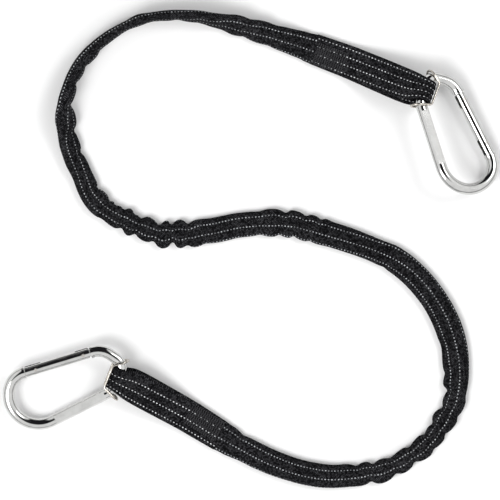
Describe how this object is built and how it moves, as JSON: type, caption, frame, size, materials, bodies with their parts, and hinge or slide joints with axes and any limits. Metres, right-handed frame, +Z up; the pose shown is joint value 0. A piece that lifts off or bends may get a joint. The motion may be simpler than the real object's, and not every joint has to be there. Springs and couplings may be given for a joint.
{
  "type": "shock absorbing lanyard",
  "caption": "Flat elasticated webbing lanyard with reflective dotted yarns, a sewn loop and a sprung gate carabiner with a captive wire keeper at each end.",
  "frame": {"origin": "on the surface that the lanyard lies on, under the middle of its box", "axes": "+Z up out of the surface, +X along the pull of the elastic from end b towards end a's side of the cover, with end a's carabiner at low X and end b's at high X"},
  "size_m": [0.2975, 0.2872, 0.0231],
  "materials": {
    "webbing": "woven polyester with reflective dots",
    "thread": "bonded thread",
    "elastic": "covered rubber strands",
    "polished_bar": "polished",
    "polished_gate": "polished",
    "keeper_wire": "nickel plated",
    "pin_steel": "plated",
    "spring_steel": "plain"
  },
  "bodies": {
    "webbing_b": {"cover_b": "webbing", "cover_middle": "webbing", "end_loop_b": "webbing", "stitching_b": "thread", "elastic_core_b": "elastic", "elastic_core_middle": "elastic"},
    "webbing_a": {"cover_a": "webbing", "end_loop_a": "webbing", "stitching_a": "thread", "elastic_core_a": "elastic"},
    "carabiner_a": {"carabiner_frame_a": "polished_bar", "keeper_wire_a": "keeper_wire"},
    "gate_a": {"gate_a": "polished_gate", "hinge_rivet_a": "pin_steel", "latch_pin_a": "pin_steel", "gate_spring_a": "spring_steel"},
    "plunger_a": {"plunger_a": "pin_steel"},
    "carabiner_b": {"carabiner_frame_b": "polished_bar", "keeper_wire_b": "keeper_wire"},
    "gate_b": {"gate_b": "polished_gate", "hinge_rivet_b": "pin_steel", "latch_pin_b": "pin_steel", "gate_spring_b": "spring_steel"},
    "plunger_b": {"plunger_b": "pin_steel"}
  },
  "joints": [
    {"name": "stretch", "type": "slide", "parent": "webbing_b", "child": "webbing_a", "axis": [1, 0, 0], "range_m": [0, 0.254], "stiffness_N_per_m": 160, "deforming": ["cover_middle", "elastic_core_middle"]},
    {"name": "swing_a", "type": "hinge", "parent": "webbing_a", "child": "carabiner_a", "pos_m": [-0.0797, -0.0774, 0.00835], "axis": [0.401, 0.9014, 0.1632], "range_deg": [0, 60]},
    {"name": "gate_a", "type": "hinge", "parent": "carabiner_a", "child": "gate_a", "pos_m": [-0.10013, -0.06258, 0.01133], "axis": [0.0109, -0.1829, 0.9831], "range_deg": [0, 25], "stiffness_Nm_per_rad": 0.03, "springref_deg": -20.05},
    {"name": "plunger_a", "type": "slide", "parent": "gate_a", "child": "plunger_a", "axis": [-0.9562, -0.2893, -0.0432], "range_m": [0, 0.0008], "deforming": ["gate_spring_a"]},
    {"name": "swing_b", "type": "hinge", "parent": "webbing_b", "child": "carabiner_b", "pos_m": [0.1039, 0.095, 0.01486], "axis": [-0.3081, -0.9011, 0.3052], "range_deg": [0, 60]},
    {"name": "gate_b", "type": "hinge", "parent": "carabiner_b", "child": "gate_b", "pos_m": [0.12696, 0.09016, 0.00534], "axis": [-0.4059, -0.1656, -0.8988], "range_deg": [0, 25], "stiffness_Nm_per_rad": 0.03, "springref_deg": -20.05},
    {"name": "plunger_b", "type": "slide", "parent": "gate_b", "child": "plunger_b", "axis": [0.4523, -0.891, -0.04], "range_m": [0, 0.0008], "deforming": ["gate_spring_b"]}
  ],
  "couplings": [
    {"joint": "plunger_a", "follows": "gate_a", "m_per_rad": 0.001833},
    {"joint": "plunger_b", "follows": "gate_b", "m_per_rad": 0.001833}
  ]
}
